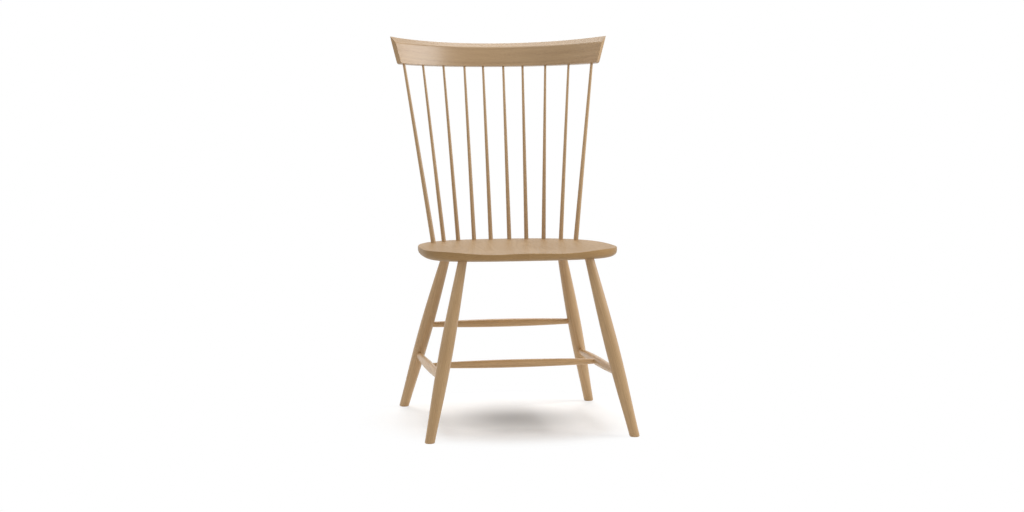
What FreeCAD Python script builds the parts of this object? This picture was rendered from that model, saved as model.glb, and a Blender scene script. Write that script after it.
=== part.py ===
"""A Windsor side chair: a dished plank seat on four turned legs, with a spindle back under a bent crest.

Millimetres and degrees. X runs to the right of someone who faces the chair's front, Y to the back, Z up.
Left and right are that person's. The origin lies on the floor under the middle of the chair's box.
"""

import FreeCAD
import Part
import math
import os
from FreeCAD import Placement, Rotation, Vector

# Seat plank. Its top plane is at seat_height where it crosses Y = 0, and rises to the front.
seat_height = 457.8
seat_tilt = 1.85
seat_width = 498.0
seat_widest_y = -60.0
seat_back_reach = 297.0
seat_front_reach = 159.0
seat_back_squareness = 2.75
seat_front_squareness = 2.9
seat_thickness = 28.5
seat_side_taper = 80.0
seat_front_taper = 115.0
seat_edge_squareness = 4.0
seat_arris = 2.0
seat_boards = 4

# Saddle: a wide dish to sit in, and a scoop for each thigh that runs out over the front edge.
dish_depth = 7.5
dish_y = 0.0
dish_half_width = 212.0
dish_half_length = 182.0
scoop_depth = 7.0
scoop_x = 82.0
scoop_half_width = 132.0
scoop_start_y = 70.0
scoop_full_y = -150.0

# Legs: where each axis crosses the seat's top plane and the floor, and the turned profile.
front_leg_top_x = 155.7
front_leg_top_y = -167.0
front_leg_foot_x = 258.9
front_leg_foot_y = -267.1
rear_leg_top_x = 145.5
rear_leg_top_y = 142.6
rear_leg_foot_x = 253.3
rear_leg_foot_y = 267.3
leg_foot_diameter = 24.8
leg_shin_diameter = 30.2
leg_belly_diameter = 34.4
leg_thigh_diameter = 30.4
leg_neck_diameter = 23.0
leg_shin_height = 98.0
leg_belly_height = 208.0
leg_thigh_height = 325.0
leg_foot_rounding = 3.0
leg_tenon_length = 19.0

# Stretchers: heights of their axes on the legs, end and belly diameters, and tenons past the axis they meet.
side_stretcher_front_height = 155.0
side_stretcher_rear_height = 144.5
side_stretcher_end_diameter = 14.0
side_stretcher_belly_diameter = 23.5
rear_stretcher_height = 228.0
rear_stretcher_end_diameter = 14.6
rear_stretcher_belly_diameter = 21.6
middle_stretcher_share = 0.48
middle_stretcher_end_diameter = 13.8
middle_stretcher_belly_diameter = 21.2
tenon_past_leg_axis = 6.0
tenon_past_side_stretcher_axis = 3.0

# Back spindles: places of the mirrored pairs at the seat and at the crest, from the middle outwards.
spindle_foot_x = [25.0, 70.5, 115.0, 157.0, 190.0]
spindle_top_x = [27.5, 79.0, 138.0, 196.5, 252.0]
spindle_row_inset = 20.0
spindle_foot_diameter = 11.3
spindle_top_diameter = 6.0
outer_spindle_foot_diameter = 12.6
outer_spindle_top_diameter = 7.4
spindle_foot_tenon = 20.0
spindle_top_tenon = 24.0

# Crest: a board bent round a form of crest_radius, leaning back, with its top planed to a wedge.
crest_y = 326.6
crest_height = 905.5
crest_lean = 13.7
crest_radius = 410.0
crest_thickness = 14.0
crest_middle_width = 66.0
crest_bottom_x = 271.0
crest_bottom_drop = 12.5
crest_top_x = 290.0
crest_top_drop = 5.5
crest_bevel_angle = 47.0
crest_bevel_rounding = 5.0
crest_corner_rounding = 8.0
crest_arris = 0.8

# Room for glue at the blind end of each mortise.
glue_room = 1.0

# How finely a formula is drawn, and how far cutting shapes run past what they cut.
quarter_points = 8
edge_sections = 12
edge_samples = 400
saddle_step = 24.0
crest_points = 9
overrun = 12.0

sides = {"left": -1, "right": 1}
origin = Vector(0, 0, 0)
z_axis = Vector(0, 0, 1)


def past(point, seen_from, distance):
    """The place a distance beyond a point, on the line from another point."""
    return point + (point - seen_from).normalize() * distance


def rod(start, end, diameter):
    """Round bar from start to end."""
    return Part.makeCylinder(diameter / 2, (end - start).Length, start, end - start)


def turned(profile, start, end):
    """Solid turned on the line from start to end. The profile's curves hold radius in X and length in Z."""
    first = profile[0].value(profile[0].FirstParameter)
    last = profile[-1].value(profile[-1].LastParameter)
    low = Vector(0, 0, first.z)
    high = Vector(0, 0, last.z)
    outline = [Part.LineSegment(low, first), *profile, Part.LineSegment(last, high), Part.LineSegment(high, low)]
    face = Part.Face(Part.Wire([curve.toShape() for curve in outline]))
    solid = face.revolve(origin, z_axis, 360)
    solid.Placement = Placement(start, Rotation(z_axis, end - start))
    return solid


def mortise(start, end, tenon, diameter):
    """Room for the tenon of a bar from start, which runs past the end, with the glue room at its bottom."""
    return rod(past(end, start, -diameter - overrun), past(end, start, tenon + glue_room), diameter)


def block_past(point, normal, size):
    """A block on the normal's side of a plane through the point."""
    block = Part.makeBox(2 * size, 2 * size, size, Vector(-size, -size, 0))
    block.Placement = Placement(point, Rotation(z_axis, normal))
    return block


# Seat. Its own frame has the top plane at Z = 0.
seat_place = Placement(Vector(0, 0, seat_height), Rotation(Vector(1, 0, 0), -seat_tilt))
seat_normal = seat_place.Rotation.multVec(z_axis)


def on_seat(x, y):
    """Point of the seat's top plane, in the room."""
    return seat_place.multVec(Vector(x, y, 0))


def seat_wire(inset, level):
    """The seat's outline drawn in by an inset, and by more to the front. Its quarters are long to the back."""
    half_width = seat_width / 2 - inset
    front_inset = inset * seat_front_taper / seat_side_taper
    quarters = []
    for x_way, y_way in [(1, 1), (-1, 1), (-1, -1), (1, -1)]:
        reach = seat_back_reach - inset if y_way > 0 else seat_front_reach - front_inset
        power = seat_back_squareness if y_way > 0 else seat_front_squareness
        points = [Vector(x_way * half_width, seat_widest_y, level)]
        for index in range(1, quarter_points):
            angle = math.pi / 2 * index / quarter_points
            across = (math.cos(angle) / half_width) ** power
            lengthwise = (math.sin(angle) / reach) ** power
            radius = (across + lengthwise) ** (-1 / power)
            x = x_way * radius * math.cos(angle)
            points.append(Vector(x, seat_widest_y + y_way * radius * math.sin(angle), level))
        points.append(Vector(0, seat_widest_y + y_way * reach, level))
        first_way = Vector(0, y_way, 0)
        last_way = Vector(-x_way, 0, 0)
        if x_way != y_way:
            points.reverse()
            first_way, last_way = -last_way, -first_way
        quarter = Part.BSplineCurve()
        quarter.interpolate(Points=points, InitialTangent=first_way, FinalTangent=last_way)
        quarters.append(quarter.toShape())
    return Part.Wire(quarters)


def seat_edge_section():
    """Inset and level of evenly spaced points round the plank's edge, from above its top to its flat underside."""
    curve = [(0.0, overrun)]
    for index in range(edge_samples + 1):
        angle = math.pi / 2 * index / edge_samples
        fall = math.sin(angle) ** (2 / seat_edge_squareness)
        draw_in = 1 - max(math.cos(angle), 0.0) ** (2 / seat_edge_squareness)
        curve.append((seat_side_taper * draw_in, -seat_thickness * fall))
    lengths = [0.0]
    for a, b in zip(curve, curve[1:]):
        lengths.append(lengths[-1] + math.dist(a, b))
    section = []
    for index in range(edge_sections):
        wanted = lengths[-1] * index / edge_sections
        at = next(place for place, length in enumerate(lengths) if length > wanted)
        share = (wanted - lengths[at - 1]) / (lengths[at] - lengths[at - 1])
        section.append(tuple(a + share * (b - a) for a, b in zip(curve[at - 1], curve[at])))
    return section + [curve[-1]]


def seat_plank():
    """The whole dished seat in its own frame, its upper edge eased."""
    wires = [seat_wire(inset, level) for inset, level in seat_edge_section()]
    plank = Part.makeLoft(wires, True, False).cut(above_saddle())
    rim = [edge for edge in plank.Edges if edge.BoundBox.ZMin > -seat_thickness / 2]
    return plank.makeFillet(seat_arris, rim)


def hollow(share):
    """A soft-edged hollow: 1 in its middle, 0 at a share of 1 and past it."""
    return max(0.0, 1 - share * share) ** 2


def saddle_level(x, y):
    """Level of the dished top in the seat's own frame."""
    dish = hollow(math.hypot(x / dish_half_width, (y - dish_y) / dish_half_length))
    run = min(1.0, max(0.0, (scoop_start_y - y) / (scoop_start_y - scoop_full_y)))
    ease = run * run * (3 - 2 * run)
    scoops = sum(hollow((x - side * scoop_x) / scoop_half_width) for side in sides.values())
    return -dish_depth * dish - scoop_depth * ease * scoops


def above_saddle():
    """All that is cut away above the dished top."""
    half_columns = math.ceil((seat_width / 2 + overrun) / saddle_step)
    rows = math.ceil((seat_front_reach + seat_back_reach + 2 * overrun) / saddle_step)
    front = seat_widest_y - seat_front_reach - overrun
    grid = []
    for column in range(-half_columns, half_columns + 1):
        x = column * saddle_step
        ys = [front + row * saddle_step for row in range(rows + 1)]
        grid.append([Vector(x, y, saddle_level(x, y)) for y in ys])
    surface = Part.BSplineSurface()
    surface.interpolate(grid)
    return surface.toShape().extrude(z_axis * 2 * overrun)


def seat_board_blocks():
    """A block for each board of the seat, side by side, to split the plank into boards of one width."""
    width = seat_width / seat_boards
    length = seat_front_reach + seat_back_reach + 2 * overrun
    front = seat_widest_y - seat_front_reach - overrun
    blocks = []
    for index in range(seat_boards):
        left = -seat_width / 2 + index * width - (overrun if index == 0 else 0)
        right = -seat_width / 2 + (index + 1) * width + (overrun if index == seat_boards - 1 else 0)
        corner = Vector(left, front, -seat_thickness - overrun)
        blocks.append(Part.makeBox(right - left, length, seat_thickness + 2 * overrun, corner))
    return blocks


# Legs. A leg's axis is its point on the floor and its point in the seat's top plane.
def leg_axis(side, top_x, top_y, foot_x, foot_y):
    """Axis of the leg on one side."""
    return Vector(side * foot_x, foot_y, 0), on_seat(side * top_x, top_y)


def at_height(axis, height):
    """Point of a leg's axis at a height above the floor."""
    foot, top = axis
    return foot + (top - foot) * (height / (top.z - foot.z))


def leg_neck_end(axis):
    """Where a leg's straight neck begins, clear below the seat."""
    foot, top = axis
    lean = seat_normal.getAngle(top - foot)
    return past(top, foot, -seat_thickness / math.cos(lean) - leg_neck_diameter / 2 * math.tan(lean))


def leg(axis):
    """A turned leg: slim foot, full belly, slim neck and a round tenon, sawn level on the floor."""
    foot, top = axis
    slope = (top - foot).Length / (top.z - foot.z)
    turning = [
        (leg_foot_diameter, -leg_foot_diameter),
        (leg_foot_diameter, 0),
        (leg_shin_diameter, leg_shin_height * slope),
        (leg_belly_diameter, leg_belly_height * slope),
        (leg_thigh_diameter, leg_thigh_height * slope),
        (leg_neck_diameter, (leg_neck_end(axis) - foot).Length),
    ]
    points = [Vector(diameter / 2, 0, length) for diameter, length in turning]
    body = Part.BSplineCurve()
    body.interpolate(points)
    tenon = Part.LineSegment(points[-1], points[-1] + z_axis * leg_tenon_length)
    solid = turned([body, tenon], foot, top).cut(block_past(foot, -z_axis, 2 * leg_foot_diameter))
    sole = [edge for edge in solid.Edges if edge.BoundBox.ZMax < leg_foot_rounding / 2]
    return solid.makeFillet(leg_foot_rounding, sole)


# Stretchers. A stretcher's line runs between the two axes that it joins.
def leaving(mate_diameter, diameter, angle):
    """Distance from a round mate's axis at which a bar at this angle to it has left it all round."""
    return (mate_diameter / 2 + diameter / 2 * abs(math.cos(angle))) / math.sin(angle)


def stretcher(line, mates, mate_diameter, end_diameter, belly_diameter, tenon):
    """A bar that swells from straight necks at its mates to a belly halfway, with a tenon past each axis."""
    start, end = line
    length = (end - start).Length
    clear = [leaving(mate_diameter, end_diameter, (end - start).getAngle(mate[1] - mate[0])) for mate in mates]
    radius = end_diameter / 2
    neck = Vector(radius, 0, clear[0])
    far_neck = Vector(radius, 0, length - clear[1])
    belly = Vector(belly_diameter / 2, 0, (neck.z + far_neck.z) / 2)
    first = Part.LineSegment(Vector(radius, 0, -tenon), neck)
    last = Part.LineSegment(far_neck, Vector(radius, 0, length + tenon))
    return turned([first, Part.Arc(neck, belly, far_neck), last], start, end)


def both_mortises(line, tenon, diameter):
    """The room that a stretcher's two tenons take."""
    start, end = line
    return [mortise(start, end, tenon, diameter), mortise(end, start, tenon, diameter)]


# Spindles.
def spindle_row_y(x):
    """How far back a spindle's foot stands: the row keeps an even margin to the seat's back edge."""
    across = x / (seat_width / 2 - spindle_row_inset)
    reach = seat_back_reach - spindle_row_inset
    return seat_widest_y + reach * (1 - across ** seat_back_squareness) ** (1 / seat_back_squareness)


def spindle(foot, top, foot_diameter, top_diameter):
    """A spindle that tapers evenly upwards, straight where it is let into the seat and into the crest."""
    length = (top - foot).Length
    outline = [
        (foot_diameter, -spindle_foot_tenon),
        (foot_diameter, foot_diameter / 2),
        (top_diameter, length - top_diameter),
        (top_diameter, length + spindle_top_tenon),
    ]
    points = [Vector(diameter / 2, 0, place) for diameter, place in outline]
    return turned([Part.LineSegment(a, b) for a, b in zip(points, points[1:])], foot, top)


# Crest. Its own frame has the origin on its bottom edge, in the middle of its length and thickness.
crest_place = Placement(Vector(0, crest_y, crest_height), Rotation(Vector(1, 0, 0), -crest_lean))
crest_back_radius = crest_radius + crest_thickness / 2
crest_front_radius = crest_radius - crest_thickness / 2


def bend(x, radius):
    """How far forward of the crest's origin a face of this radius lies, x to the side."""
    return crest_radius - math.sqrt(radius * radius - x * x)


def crest_bottom(x):
    """Level of the crest's bottom edge, x to the side."""
    return -crest_bottom_drop * (x / crest_bottom_x) ** 2


def crest_top(x):
    """Level of the sharp edge along the back of the crest's top, x to the side."""
    return crest_middle_width - crest_top_drop * (x / crest_top_x) ** 2


def crest_socket(x):
    """Point of the crest's bottom edge where a spindle enters, in the room."""
    return crest_place.multVec(Vector(x, -bend(x, crest_radius), crest_bottom(x)))


def crest_waste(level, forward, up):
    """What is sawn off above or below a curve along the crest, with the saw held along forward."""
    reach = crest_top_x + overrun
    xs = [reach * (2 * index / (crest_points - 1) - 1) for index in range(crest_points)]
    curve = Part.BSplineCurve()
    curve.interpolate([Vector(x, 0, level(x)) for x in xs])
    far = up * (crest_middle_width + reach)
    corners = [curve.EndPoint, Vector(reach, 0, far), Vector(-reach, 0, far), curve.StartPoint]
    lines = [Part.makeLine(a, b) for a, b in zip(corners, corners[1:])]
    face = Part.Face(Part.Wire([curve.toShape(), *lines]))
    face.translate(forward * -crest_thickness)
    return face.extrude(forward * crest_radius)


def crest_end(side):
    """What is sawn off at one end: the cut runs square through the bent board and flares outwards to the top."""
    low_x = side * crest_bottom_x
    high_x = side * crest_top_x
    low = Vector(low_x, -bend(low_x, crest_back_radius), crest_bottom(low_x))
    high = Vector(high_x, -bend(high_x, crest_back_radius), crest_top(high_x))
    through = Vector(low.x, low.y + crest_radius, 0)
    return block_past(low, through.cross(high - low) * side, 2 * crest_middle_width)


def crest():
    """The bent crest in its own frame: a wedge along its top, rounded lower corners and eased edges."""
    sweep = 2 * math.degrees(math.asin((crest_top_x + overrun) / crest_back_radius))
    centre = Vector(0, -crest_radius, -crest_middle_width)
    height = 3 * crest_middle_width
    board = Part.makeCylinder(crest_back_radius, height, centre, z_axis, sweep)
    board = board.cut(Part.makeCylinder(crest_front_radius, height, centre, z_axis))
    board.rotate(centre, z_axis, 90 - sweep / 2)
    slope = math.tan(math.radians(crest_bevel_angle))
    board = board.cut(
        [
            crest_waste(lambda x: crest_top(x) + slope * bend(x, crest_back_radius), Vector(0, -1, -slope), 1),
            crest_waste(crest_bottom, Vector(0, -1, 0), -1),
            crest_end(sides["left"]),
            crest_end(sides["right"]),
        ]
    )
    bevel_foot = [
        edge
        for edge in board.Edges
        if edge.Length > crest_top_x
        and abs(edge.BoundBox.YMax + crest_thickness / 2) < crest_arris
        and edge.BoundBox.ZMin > crest_middle_width / 2
    ]
    board = board.makeFillet(crest_bevel_rounding, bevel_foot)
    low_corners = [
        edge
        for edge in board.Edges
        if edge.Length < 2 * crest_thickness
        and edge.CenterOfMass.z < crest_bottom(crest_bottom_x) / 2
        and abs(edge.CenterOfMass.x) > crest_bottom_x - crest_thickness
    ]
    board = board.makeFillet(crest_corner_rounding, low_corners)
    return board.makeFillet(crest_arris, board.Edges)


# Lines of the legs and the stretchers.
leg_axes = {}
side_lines = {}
for name, side in sides.items():
    front_leg = leg_axis(side, front_leg_top_x, front_leg_top_y, front_leg_foot_x, front_leg_foot_y)
    rear_leg = leg_axis(side, rear_leg_top_x, rear_leg_top_y, rear_leg_foot_x, rear_leg_foot_y)
    leg_axes[f"front_{name}"] = front_leg
    leg_axes[f"rear_{name}"] = rear_leg
    front_end = at_height(front_leg, side_stretcher_front_height)
    rear_end = at_height(rear_leg, side_stretcher_rear_height)
    side_lines[name] = (rear_end, front_end)
rear_line = tuple(at_height(leg_axes[f"rear_{name}"], rear_stretcher_height) for name in sides)
middle_line = tuple(start + (end - start) * middle_stretcher_share for start, end in side_lines.values())

# Stretchers, and the mortises that they need.
pieces = {}
leg_mortises = []
for name, line in side_lines.items():
    mates = [leg_axes[f"rear_{name}"], leg_axes[f"front_{name}"]]
    diameters = [leg_belly_diameter, side_stretcher_end_diameter, side_stretcher_belly_diameter]
    pieces[f"side_stretcher_{name}"] = stretcher(line, mates, *diameters, tenon_past_leg_axis)
    leg_mortises += both_mortises(line, tenon_past_leg_axis, side_stretcher_end_diameter)

mates = [leg_axes[f"rear_{name}"] for name in sides]
diameters = [leg_belly_diameter, rear_stretcher_end_diameter, rear_stretcher_belly_diameter]
pieces["rear_stretcher"] = stretcher(rear_line, mates, *diameters, tenon_past_leg_axis)
leg_mortises += both_mortises(rear_line, tenon_past_leg_axis, rear_stretcher_end_diameter)

mates = list(side_lines.values())
diameters = [side_stretcher_belly_diameter, middle_stretcher_end_diameter, middle_stretcher_belly_diameter]
pieces["middle_stretcher"] = stretcher(middle_line, mates, *diameters, tenon_past_side_stretcher_axis)
middle_mortises = both_mortises(middle_line, tenon_past_side_stretcher_axis, middle_stretcher_end_diameter)
for name in sides:
    pieces[f"side_stretcher_{name}"] = pieces[f"side_stretcher_{name}"].cut(middle_mortises)

# Legs.
seat_mortises = []
for name, axis in leg_axes.items():
    pieces[f"leg_{name}"] = leg(axis).cut(leg_mortises)
    seat_mortises.append(mortise(axis[0], leg_neck_end(axis), leg_tenon_length, leg_neck_diameter))

# Spindles, numbered from the left.
crest_mortises = []
pairs = len(spindle_foot_x)
for name, side in sides.items():
    for index in range(pairs):
        outermost = index == pairs - 1
        foot_diameter = outer_spindle_foot_diameter if outermost else spindle_foot_diameter
        top_diameter = outer_spindle_top_diameter if outermost else spindle_top_diameter
        foot = on_seat(side * spindle_foot_x[index], spindle_row_y(spindle_foot_x[index]))
        top = crest_socket(side * spindle_top_x[index])
        number = pairs - index if name == "left" else pairs + 1 + index
        pieces[f"spindle_{number}"] = spindle(foot, top, foot_diameter, top_diameter)
        seat_mortises.append(mortise(top, foot, spindle_foot_tenon, foot_diameter))
        crest_mortises.append(mortise(foot, top, spindle_top_tenon, top_diameter))

# Crest and seat boards.
board = crest()
board.Placement = crest_place
pieces["crest_rail"] = board.cut(crest_mortises)
plank = seat_plank()
for index, block in enumerate(seat_board_blocks()):
    board = plank.common(block)
    board.Placement = seat_place
    pieces[f"seat_board_{index + 1}"] = board.cut(seat_mortises)

# The row's origin is under the middle of the whole chair.
box = Part.makeCompound(list(pieces.values())).optimalBoundingBox(False, False)
to_middle = Vector(0, -(box.YMin + box.YMax) / 2, 0)
print(f"box {box.XLength:.2f} x {box.YLength:.2f} x {box.ZLength:.2f}, moved {to_middle.y:.3f} in Y")
os.makedirs("parts", exist_ok=True)
for name, shape in pieces.items():
    shape.translate(to_middle)
    if not shape.isValid() or len(shape.Solids) != 1:
        raise ValueError(f"{name} is not one valid solid")
    shape.exportStep(f"parts/{name}.step")
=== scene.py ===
# %% [markdown]
# # A Windsor side chair in natural oak
# The chair is all wood: a plank seat, ten spindles, four turned legs, four stretchers and a bent
# crest rail. The packed model already holds each piece at its real size, glued where it belongs.
# Nothing here moves, so the work in Blender is the wood itself, and the light that shows it.
# We load the model first and note its box, because every place below is measured in that frame.

# %% Load the chair
import random
from math import pi, radians

import bmesh
import bpy
from mathutils import Euler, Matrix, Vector


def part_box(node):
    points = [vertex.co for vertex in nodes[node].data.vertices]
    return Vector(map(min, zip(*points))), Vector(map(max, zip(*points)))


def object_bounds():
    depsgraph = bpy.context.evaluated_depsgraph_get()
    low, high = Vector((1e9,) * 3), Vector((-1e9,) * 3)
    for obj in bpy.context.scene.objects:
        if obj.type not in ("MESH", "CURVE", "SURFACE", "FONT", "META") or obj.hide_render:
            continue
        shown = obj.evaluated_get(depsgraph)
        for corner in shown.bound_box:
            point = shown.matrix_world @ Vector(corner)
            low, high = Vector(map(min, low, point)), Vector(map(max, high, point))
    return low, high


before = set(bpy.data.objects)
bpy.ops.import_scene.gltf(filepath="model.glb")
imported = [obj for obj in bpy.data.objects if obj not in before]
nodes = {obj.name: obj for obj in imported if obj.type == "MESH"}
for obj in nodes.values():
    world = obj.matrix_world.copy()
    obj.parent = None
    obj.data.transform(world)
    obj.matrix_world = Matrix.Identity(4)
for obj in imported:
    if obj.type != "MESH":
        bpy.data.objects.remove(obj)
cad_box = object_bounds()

random.seed(7)
chair_low, chair_high = (Vector(corner) for corner in cad_box)
print(len(nodes), "pieces, chair box", [round(size, 3) for size in chair_high - chair_low])

# %% [markdown]
# ## The camera
# The chair was photographed from its front, a little to its left, with the lens at about the
# height of a person's chest. The chair fills little depth, its far legs are hardly smaller
# than its near ones, so the lens was a long one from several metres away. We stand the camera
# there by its real distance and height, and turn it by a heading and a downward tilt. Depth of
# field stays off, as everything in the picture is sharp.

# %% Camera
camera_stand = (-1.0476, -5.9426, 1.1037)
camera_heading = radians(10.0)
camera_tilt = radians(6.41)
camera_lens = 82.54
film_width = 36.0


def place_camera():
    """Stands the camera in front of the chair and makes it the scene's own."""
    camera = bpy.data.cameras.new("camera")
    camera.sensor_width = film_width
    camera.lens = camera_lens
    camera.dof.use_dof = False
    holder = bpy.data.objects.new("camera", camera)
    holder.location = camera_stand
    holder.rotation_euler = (radians(90) - camera_tilt, 0, -camera_heading)
    bpy.context.collection.objects.link(holder)
    bpy.context.scene.camera = holder
    return holder


camera = place_camera()
print("camera", [round(value, 3) for value in camera.location], "lens", camera_lens, "mm")

# %% [markdown]
# ## The studio lamps
# The light is soft everywhere and the seat throws one round, blurred shadow straight down, so a
# wide softbox hangs overhead. The left part of the crest, which is bent like a shallow bowl, has
# a milky sheen with a rather sharp edge, and the legs are brighter on their right sides. Both
# come from a long low softbox on the right. Weaker ones at the back, the left and the front open
# up the far legs and the fronts. An area lamp is a real softbox: its power is its radiance times
# its area times pi, so a radiance of 1 looks as bright as white paper. The lamps themselves are
# hidden from the camera, which may look at the chair from any side.

# %% Lamps
aim_point = Vector((0, 0.1, 0.7))
softboxes = {
    "overhead": {"azimuth": 0, "elevation": 90, "away": 2.0, "width": 2.4, "height": 2.4, "radiance": 1.1},
    "right": {"azimuth": 78, "elevation": 25, "away": 3.0, "width": 2.2, "height": 0.9, "radiance": 8.0},
    "back": {"azimuth": 180, "elevation": 45, "away": 3.0, "width": 2.0, "height": 1.6, "radiance": 4.2},
    "left": {"azimuth": -75, "elevation": 30, "away": 3.0, "width": 1.6, "height": 1.6, "radiance": 1.0},
    "front": {"azimuth": -12, "elevation": 40, "away": 3.5, "width": 2.0, "height": 1.2, "radiance": 0.35},
}


def softbox(name, azimuth, elevation, away, width, height, radiance):
    """A lit panel that looks at the chair. Azimuth 0 is in front of it, 90 to its right."""
    lamp = bpy.data.lights.new(name, "AREA")
    lamp.shape = "RECTANGLE"
    lamp.size = width
    lamp.size_y = height
    lamp.energy = radiance * width * height * pi
    turn = Euler((radians(90 - elevation), 0, radians(azimuth)))
    step = Vector((0, 0, away))
    step.rotate(turn)
    holder = bpy.data.objects.new(name, lamp)
    holder.rotation_euler = turn
    holder.location = aim_point + step
    holder.visible_camera = False
    bpy.context.collection.objects.link(holder)
    return holder


for name, setting in softboxes.items():
    softbox(name, **setting)
print(len(softboxes), "softboxes, radiances", [setting["radiance"] for setting in softboxes.values()])

# %% [markdown]
# ## The white room
# Around the chair is nothing but white. What the camera sees of the world is pure white, and so
# is what a glossy surface reflects, but the light that the world gives is much weaker, or the
# soft shadows would wash out. The Light Path node tells these rays apart.

# %% World
room_light = 0.37


def rays_that_see(tree):
    """1 for camera, glossy and transmission rays, 0 for the light on a surface."""
    path = tree.nodes.new("ShaderNodeLightPath")
    either = tree.nodes.new("ShaderNodeMath")
    either.operation = "MAXIMUM"
    any_of = tree.nodes.new("ShaderNodeMath")
    any_of.operation = "MAXIMUM"
    tree.links.new(path.outputs["Is Camera Ray"], either.inputs[0])
    tree.links.new(path.outputs["Is Glossy Ray"], either.inputs[1])
    tree.links.new(either.outputs[0], any_of.inputs[0])
    tree.links.new(path.outputs["Is Transmission Ray"], any_of.inputs[1])
    return any_of.outputs[0]


def white_room():
    """A world that looks white and shines at room_light."""
    world = bpy.data.worlds.new("white room")
    world.use_nodes = True
    tree = world.node_tree
    background = tree.nodes["Background"]
    background.inputs["Color"].default_value = (1, 1, 1, 1)
    strength = tree.nodes.new("ShaderNodeMapRange")
    strength.inputs["To Min"].default_value = room_light
    strength.inputs["To Max"].default_value = 1
    tree.links.new(rays_that_see(tree), strength.inputs["Value"])
    tree.links.new(strength.outputs["Result"], background.inputs["Strength"])
    bpy.context.scene.world = world


white_room()
view = bpy.context.scene.view_settings
view.view_transform = "Standard"
print("room light", room_light, "view", view.view_transform)

# %% [markdown]
# ## The floor
# The floor is a sweep of paper that comes out white in the picture wherever the seat doesn't
# shade it. One big disc does: bmesh fills a circle, and its centre lies under the chair. Near the
# chair the camera sees the paper lit by the lamps, so it keeps the shadow. Further out it turns
# into plain white light of strength 1. It isn't stronger, because a brighter floor would eat into
# the edges of the thin legs and spindles. The photographed shadow is clearly deeper in its middle
# than these wide lamps make it, so the paper that is seen has a grey patch right under the seat.
# That patch is a stand-in for harder light. Rays that carry light to the chair find pale grey
# paper everywhere.

# %% Floor
floor_radius = 14.0
floor_sides = 96
paper_colour = 0.92
paper_seen = 1.05
paper_shaded = 0.56
shade_reach = 0.26
shadow_reach = 0.24
white_from = 0.42


def paper_material():
    """Paper that keeps the chair's shadow and is pure white further out."""
    material = bpy.data.materials.new("floor paper")
    material.use_nodes = True
    tree = material.node_tree
    tree.nodes.clear()
    seen = rays_that_see(tree)
    place = tree.nodes.new("ShaderNodeTexCoord")
    distance = tree.nodes.new("ShaderNodeVectorMath")
    distance.operation = "LENGTH"
    tree.links.new(place.outputs["Object"], distance.inputs[0])
    tone = tree.nodes.new("ShaderNodeMapRange")
    tone.interpolation_type = "SMOOTHSTEP"
    tone.inputs["From Max"].default_value = shade_reach
    tone.inputs["To Min"].default_value = paper_shaded
    tone.inputs["To Max"].default_value = paper_seen
    tree.links.new(distance.outputs["Value"], tone.inputs["Value"])
    colour = tree.nodes.new("ShaderNodeMapRange")
    colour.inputs["To Min"].default_value = paper_colour
    tree.links.new(tone.outputs["Result"], colour.inputs["To Max"])
    tree.links.new(seen, colour.inputs["Value"])
    paper = tree.nodes.new("ShaderNodeBsdfDiffuse")
    tree.links.new(colour.outputs["Result"], paper.inputs["Color"])

    whiteness = tree.nodes.new("ShaderNodeMapRange")
    whiteness.interpolation_type = "SMOOTHSTEP"
    whiteness.inputs["From Min"].default_value = shadow_reach
    whiteness.inputs["From Max"].default_value = white_from
    tree.links.new(distance.outputs["Value"], whiteness.inputs["Value"])
    share = tree.nodes.new("ShaderNodeMath")
    share.operation = "MULTIPLY"
    tree.links.new(whiteness.outputs["Result"], share.inputs[0])
    tree.links.new(seen, share.inputs[1])

    white = tree.nodes.new("ShaderNodeEmission")
    both = tree.nodes.new("ShaderNodeMixShader")
    output = tree.nodes.new("ShaderNodeOutputMaterial")
    tree.links.new(share.outputs[0], both.inputs[0])
    tree.links.new(paper.outputs["BSDF"], both.inputs[1])
    tree.links.new(white.outputs["Emission"], both.inputs[2])
    tree.links.new(both.outputs["Shader"], output.inputs["Surface"])
    return material


def paper_floor():
    """A disc at the chair's feet."""
    shape = bmesh.new()
    bmesh.ops.create_circle(shape, cap_ends=True, segments=floor_sides, radius=floor_radius)
    mesh = bpy.data.meshes.new("floor")
    shape.to_mesh(mesh)
    shape.free()
    mesh.materials.append(paper_material())
    floor = bpy.data.objects.new("floor", mesh)
    bpy.context.collection.objects.link(floor)


paper_floor()
print("floor disc of radius", floor_radius, "m at height", chair_low.z)

# %% [markdown]
# ## A short way to write node recipes
# A material is a tree of nodes and links. Written call by call it is long and hard to follow, so
# this small class adds a node, sets its values and links its inputs in one line, and names the
# few steps that wood needs: a stretched pattern, noise, a smooth ramp, a sum and a blend.

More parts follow.
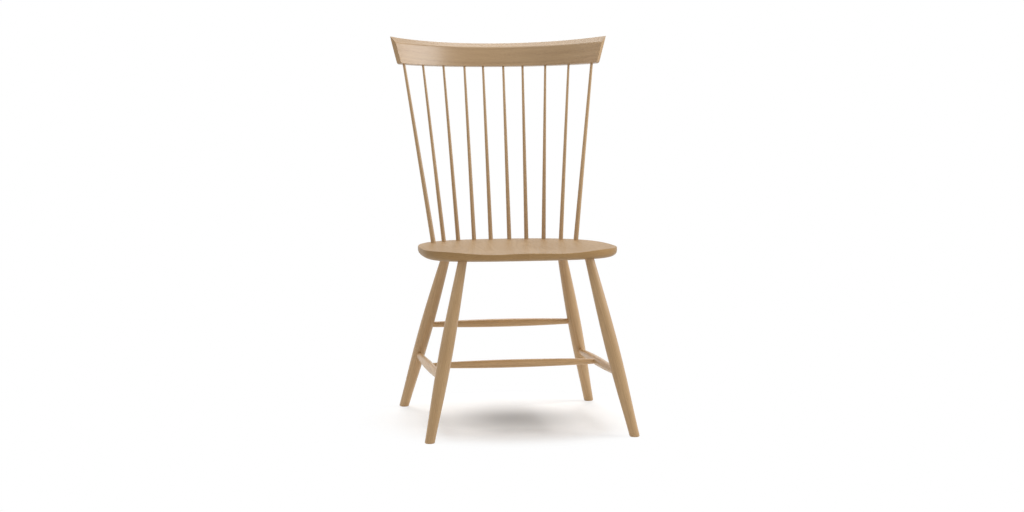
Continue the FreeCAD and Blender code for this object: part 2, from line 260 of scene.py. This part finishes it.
# %% Recipe helper
class Recipe:
    """Adds nodes to a tree and links them, so that a recipe reads from top to bottom."""

    def __init__(self, tree):
        self.tree = tree

    def add(self, kind, settings=None, inputs=None):
        """A node of this kind. An input is a value, or an output socket to link."""
        node = self.tree.nodes.new(kind)
        for name, value in (settings or {}).items():
            setattr(node, name, value)
        for name, value in (inputs or {}).items():
            if isinstance(value, bpy.types.NodeSocket):
                self.tree.links.new(value, node.inputs[name])
            else:
                node.inputs[name].default_value = value
        return node

    def stretched(self, vector, length):
        """The log's coordinates with Z shortened, so that a pattern grows long on the grain."""
        scale = {"Vector": vector, "Scale": (1, 1, length)}
        return self.add("ShaderNodeMapping", inputs=scale).outputs["Vector"]

    def noise(self, vector, scale, detail, roughness=0.5):
        """Noise from 0 to 1."""
        inputs = {"Vector": vector, "Scale": scale, "Detail": detail, "Roughness": roughness}
        return self.add("ShaderNodeTexNoise", inputs=inputs).outputs["Fac"]

    def ramp(self, value, low, high, bottom=0.0, top=1.0):
        """value from low to high becomes bottom to top, smoothly."""
        inputs = {"Value": value, "From Min": low, "From Max": high, "To Min": bottom, "To Max": top}
        kind = {"interpolation_type": "SMOOTHSTEP"}
        return self.add("ShaderNodeMapRange", kind, inputs).outputs["Result"]

    def math(self, operation, first, second=0.0):
        """One sum of two values."""
        return self.add("ShaderNodeMath", {"operation": operation}, {0: first, 1: second}).outputs[0]

    def blend(self, factor, first, second, kind="MIX"):
        """One colour into another."""
        settings = {"data_type": "RGBA", "blend_type": kind}
        mix = self.add("ShaderNodeMix", settings)
        for name, value in (("Factor", factor), ("A", first), ("B", second)):
            socket = [s for s in mix.inputs if s.name == name and s.enabled][0]
            if isinstance(value, bpy.types.NodeSocket):
                self.tree.links.new(value, socket)
            else:
                socket.default_value = value
        return [s for s in mix.outputs if s.enabled][0]


print("recipe steps:", [name for name in vars(Recipe) if not name.startswith("_")])

# %% [markdown]
# ## What oak looks like
# A tree grows a ring a year. Oak starts each ring with a porous band of wide vessels and ends it
# with dense, smooth wood. Every face of a sawn piece shows the same solid pattern cut another
# way: straight lines, flames, or dots on end grain. So the pattern is made in the log's own
# coordinates, where Z is the trunk and the heart is at X = Y = 0, and each piece is then cut
# from its own place in a log. A node group holds the recipe once for all pieces:
# rings from a Wave texture, long fibres and broad tone from Noise stretched along Z, and pores
# as fine dashes that crowd in the ring's first part.

# %% Oak recipe
ring_width = 0.0042
wave_period = 0.31416
ring_wander = 5.0
ring_stretch = 0.12
fibre_scale = 620.0
strand_scale = 150.0
fibre_stretch = 0.05
tone_scale = 9.0
tone_stretch = 0.35
pore_scale = 1500.0
pore_stretch = 0.085
pore_strength = 0.42
oak_light = (0.600, 0.392, 0.196, 1)
oak_brown = (0.530, 0.334, 0.158, 1)
oak_dark = (0.355, 0.202, 0.078, 1)
pore_colour = (0.220, 0.110, 0.040, 1)
# Painted light: end grain is lightened to stand in for the light on the seat's front edge.
end_grain_painted_light = (1.20, 1.16, 1.08, 1)


def oak_group():
    """Log coordinates in; colour, roughness and height out."""
    tree = bpy.data.node_groups.new("oak", "ShaderNodeTree")
    tree.interface.new_socket("Log", in_out="INPUT", socket_type="NodeSocketVector")
    tree.interface.new_socket("End grain", in_out="INPUT", socket_type="NodeSocketFloat")
    tree.interface.new_socket("Color", in_out="OUTPUT", socket_type="NodeSocketColor")
    tree.interface.new_socket("Roughness", in_out="OUTPUT", socket_type="NodeSocketFloat")
    tree.interface.new_socket("Height", in_out="OUTPUT", socket_type="NodeSocketFloat")
    recipe = Recipe(tree)
    given = recipe.add("NodeGroupInput")
    log, end_grain = given.outputs["Log"], given.outputs["End grain"]
    along = recipe.stretched(log, fibre_stretch)

    rings = recipe.add(
        "ShaderNodeTexWave",
        {"wave_type": "RINGS", "rings_direction": "Z", "wave_profile": "SAW"},
        {
            "Vector": recipe.stretched(log, ring_stretch),
            "Scale": wave_period / ring_width,
            "Distortion": ring_wander,
            "Detail": 3.0,
            "Detail Scale": 0.16,
            "Detail Roughness": 0.45,
        },
    ).outputs["Fac"]
    early = recipe.math("SUBTRACT", 1.0, recipe.ramp(rings, 0.02, 0.42))
    late = recipe.ramp(rings, 0.55, 0.98)

    fibres = recipe.noise(along, fibre_scale, 3.0, 0.6)
    strands = recipe.noise(along, strand_scale, 2.0)
    tone = recipe.noise(recipe.stretched(log, tone_stretch), tone_scale, 2.0)
    dashes = recipe.noise(recipe.stretched(log, pore_stretch), pore_scale, 1.0)
    crowd = recipe.ramp(early, 0.0, 1.0, 0.30, 1.0)
    pores = recipe.math("MULTIPLY", recipe.ramp(dashes, 0.60, 0.68), crowd)

    colour = recipe.blend(recipe.ramp(tone, 0.3, 0.7), oak_light, oak_brown)
    band = recipe.math("ADD", recipe.math("MULTIPLY", early, 0.22), recipe.math("MULTIPLY", late, 0.16))
    fine = recipe.ramp(fibres, 0.3, 0.75, 0.0, 0.24)
    streak = recipe.math("ADD", fine, recipe.ramp(strands, 0.3, 0.7, 0.0, 0.14))
    colour = recipe.blend(recipe.math("ADD", band, streak), colour, oak_dark)
    colour = recipe.blend(recipe.math("MULTIPLY", pores, pore_strength), colour, pore_colour)
    # Painted light: faces that cut the grain squarely come out lighter.
    colour = recipe.blend(end_grain, colour, end_grain_painted_light, "MULTIPLY")

    grooves = recipe.math("MULTIPLY", pores, 0.18)
    rough = recipe.math("ADD", recipe.ramp(fibres, 0.3, 0.7, 0.40, 0.48), grooves)
    rough = recipe.math("ADD", rough, recipe.math("MULTIPLY", end_grain, 0.14))
    height = recipe.math("SUBTRACT", recipe.math("MULTIPLY", fibres, 0.35), pores)

    result = recipe.add("NodeGroupOutput")
    tree.links.new(colour, result.inputs["Color"])
    tree.links.new(rough, result.inputs["Roughness"])
    tree.links.new(height, result.inputs["Height"])
    return tree


oak = oak_group()
print("oak recipe of", len(oak.nodes), "nodes, a ring every", ring_width * 1000, "mm")

# %% [markdown]
# ## Cutting a piece from the log
# A Mapping node of the Texture kind undoes a place and a turn, so it turns the chair's
# coordinates into the log's: its location is a point on the heart and its turn points Z along
# the grain. The heart lies some centimetres beside the piece, another way for every piece, since
# a turner splits many blanks from one log and none holds the heart. The recipe is told how
# squarely a face cuts the grain, and end grain gets a lighter tint, which is painted light
# standing in for the light on the seat's front edge.
# The lacquer is satin on the turned pieces, glossier on the crest, and worn nearly matt on the
# seat. A value scales the oak of each kind of piece, set so that it matched the photograph under
# these lamps. It is partly the timber's own tone and partly painted darkening on the seat and the
# crest and painted light on the stretchers.

# %% Oak for a piece
satin = {"Coat Weight": 0.35, "Coat Roughness": 0.27, "Specular IOR Level": 0.45}
polished = {"Coat Weight": 0.55, "Coat Roughness": 0.25, "Specular IOR Level": 0.50}
worn = {"Coat Weight": 0.02, "Coat Roughness": 0.45, "Specular IOR Level": 0.10}
# The first value of each kind scales its oak: partly its own tone, partly painted darkening on the seat
# and crest and painted light on the stretchers.
woods = {
    "leg": {"shade": 1.00, "lacquer": satin},
    "stretcher": {"shade": 1.12, "lacquer": satin},
    "spindle": {"shade": 0.92, "lacquer": satin},
    "seat": {"shade": 0.70, "lacquer": worn},
    "crest": {"shade": 0.76, "lacquer": polished},
}
pore_depth = 0.00012
bump_strength = 0.4
slanting_cut = 0.35
square_cut = 0.95
end_share = 0.04
trunk_length = 3.0
heart_near = 0.035
heart_far = 0.085
grain_runout = radians(1.2)


def finish(name, cut):
    """A lacquered oak. cut(recipe) gives the log coordinates and the grain's direction."""
    kind = next(kind for kind in woods if kind in name)
    shade = woods[kind]["shade"]
    material = bpy.data.materials.new(name)
    material.use_nodes = True
    tree = material.node_tree
    tree.nodes.clear()
    recipe = Recipe(tree)
    log, direction = cut(recipe)
    place = recipe.add("ShaderNodeTexCoord")
    product = {"operation": "DOT_PRODUCT"}
    facing = recipe.add("ShaderNodeVectorMath", product, {0: place.outputs["Normal"], 1: direction})
    facing = recipe.math("ABSOLUTE", facing.outputs["Value"])
    squareness = recipe.ramp(facing, slanting_cut, square_cut)
    wood = recipe.add("ShaderNodeGroup", {"node_tree": oak}, {"Log": log, "End grain": squareness})
    # Painted light and darkening: the oak is scaled by its kind's value.
    colour = recipe.blend(1.0, wood.outputs["Color"], (shade, shade, shade, 1), "MULTIPLY")
    relief = {"Height": wood.outputs["Height"], "Distance": pore_depth, "Strength": bump_strength}
    bump = recipe.add("ShaderNodeBump", inputs=relief)
    shader = recipe.add(
        "ShaderNodeBsdfPrincipled",
        inputs={
            "Base Color": colour,
            "Roughness": wood.outputs["Roughness"],
            "Normal": bump.outputs["Normal"],
            **woods[kind]["lacquer"],
        },
    )
    output = recipe.add("ShaderNodeOutputMaterial")
    tree.links.new(shader.outputs["BSDF"], output.inputs["Surface"])
    return material


def straight_cut(start, direction, heart):
    """Coordinates of a log whose heart runs past start along direction, offset by heart."""
    turn = direction.to_track_quat("Z", "Y")
    origin = start - turn @ heart

    def cut(recipe):
        place = recipe.add("ShaderNodeTexCoord")
        mapping = recipe.add(
            "ShaderNodeMapping",
            {"vector_type": "TEXTURE"},
            {"Vector": place.outputs["Object"], "Location": origin, "Rotation": turn.to_euler()},
        )
        return mapping.outputs["Vector"], tuple(direction)

    return cut


def ends_of(node, axis):
    """The middles of a piece's two ends along an axis, from its own mesh."""
    corners = [vertex.co for vertex in nodes[node].data.vertices]
    levels = [corner[axis] for corner in corners]
    reach = (max(levels) - min(levels)) * end_share
    low = [corner for corner in corners if corner[axis] < min(levels) + reach]
    high = [corner for corner in corners if corner[axis] > max(levels) - reach]
    return sum(low, Vector()) / len(low), sum(high, Vector()) / len(high)


def random_heart():
    """The piece's place in the log, seen along the grain, and how far up the trunk."""
    around = Euler((0, 0, random.uniform(0, radians(360))))
    heart = Vector((random.uniform(heart_near, heart_far), 0, 0))
    heart.rotate(around)
    return heart + Vector((0, 0, random.uniform(0, trunk_length)))


def dress_turned(node, axis):
    """Oak with its grain from end to end of a turned piece."""
    start, end = ends_of(node, axis)
    direction = (end - start).normalized()
    leans = [random.uniform(-grain_runout, grain_runout) for way in range(2)]
    direction.rotate(Euler((*leans, 0)))
    cut = straight_cut(start, direction, random_heart())
    nodes[node].material_slots[0].material = finish(node + " oak", cut)


X, Y, Z = 0, 1, 2
for node in sorted(nodes):
    if node.startswith(("leg_", "spindle_")):
        dress_turned(node, Z)
for node in ("middle_stretcher", "rear_stretcher"):
    dress_turned(node, X)
for node in ("side_stretcher_left", "side_stretcher_right"):
    dress_turned(node, Y)
print(len(bpy.data.materials), "materials so far")

# %% [markdown]
# ## The seat boards
# The plank is glued up from four boards with their grain from front to back, so its front edge
# shows end grain. A board is flat-sawn: the heart lies a few centimetres under or over it, turn
# about, which keeps the plank flat as it dries. The saddle is carved through the rings, and that
# draws their curved outlines by itself, as the pattern is solid.

# %% Seat boards
board_heart_depth = 0.075
board_heart_shift = 0.030
board_grain_lean = radians(1.6)


def dress_board(node, upward):
    """Flat-sawn oak with its heart under or over the board."""
    low, high = (Vector(corner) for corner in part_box(node))
    across, upwards = (random.uniform(-board_grain_lean, board_grain_lean) for way in range(2))
    direction = Vector((across, 1, upwards)).normalized()
    middle = Vector(((low.x + high.x) / 2, 0, (low.z + high.z) / 2))
    aside = random.uniform(-board_heart_shift, board_heart_shift)
    start = middle + Vector((aside, 0, -upward * board_heart_depth))
    heart = Vector((0, 0, random.uniform(0, trunk_length)))
    cut = straight_cut(start, direction, heart)
    nodes[node].material_slots[0].material = finish(node + " oak", cut)


boards = sorted(node for node in nodes if node.startswith("seat_board_"))
for place, node in enumerate(boards):
    dress_board(node, -1 if place % 2 else 1)
print(len(boards), "boards dressed, heart side up and down in turn")

# %% [markdown]
# ## The crest rail
# The crest is one board, steamed and bent round a form, and its grain bends with it. Straight
# log coordinates would cut across it at the ends. So its coordinates are unbent first: the
# distance from the bend's centre is the depth in the board, and the angle round the centre times
# the radius is the way along the grain. The board leans back, and the Mapping node takes that
# lean away before the sums.

# %% Crest rail
crest_foot = Vector((0, 0.2918, 0.9055))
crest_lean = radians(13.7)
crest_bend = 0.410
crest_heart = Vector((0.028, 0.062, 0.4))


def bent_cut(recipe):
    """Log coordinates that follow the bend of the crest."""
    lean = Euler((-crest_lean, 0, 0))
    centre = Vector((0, -crest_bend, 0))
    centre.rotate(lean)
    place = recipe.add("ShaderNodeTexCoord")
    upright = recipe.add(
        "ShaderNodeMapping",
        {"vector_type": "TEXTURE"},
        {"Vector": place.outputs["Object"], "Location": crest_foot + centre, "Rotation": lean},
    )
    parts = recipe.add("ShaderNodeSeparateXYZ", inputs={"Vector": upright.outputs["Vector"]})
    x, y, z = parts.outputs
    flat = recipe.add("ShaderNodeCombineXYZ", inputs={"X": x, "Y": y})
    radius = recipe.add("ShaderNodeVectorMath", {"operation": "LENGTH"}, {0: flat.outputs["Vector"]})
    depth = recipe.math("SUBTRACT", radius.outputs["Value"], crest_bend - crest_heart.y)
    angle = recipe.math("ARCTAN2", x, y)
    reach = recipe.math("MULTIPLY_ADD", angle, crest_bend)
    reach.node.inputs[2].default_value = crest_heart.z
    height = recipe.math("SUBTRACT", z, crest_heart.x)
    log = recipe.add("ShaderNodeCombineXYZ", inputs={"X": height, "Y": depth, "Z": reach})
    return log.outputs["Vector"], (1, 0, 0)


nodes["crest_rail"].material_slots[0].material = finish("crest_rail oak", bent_cut)
print("crest dressed, bent round", crest_bend, "m")

# %% [markdown]
# ## Sizes
# The finish must not change the chair's size.
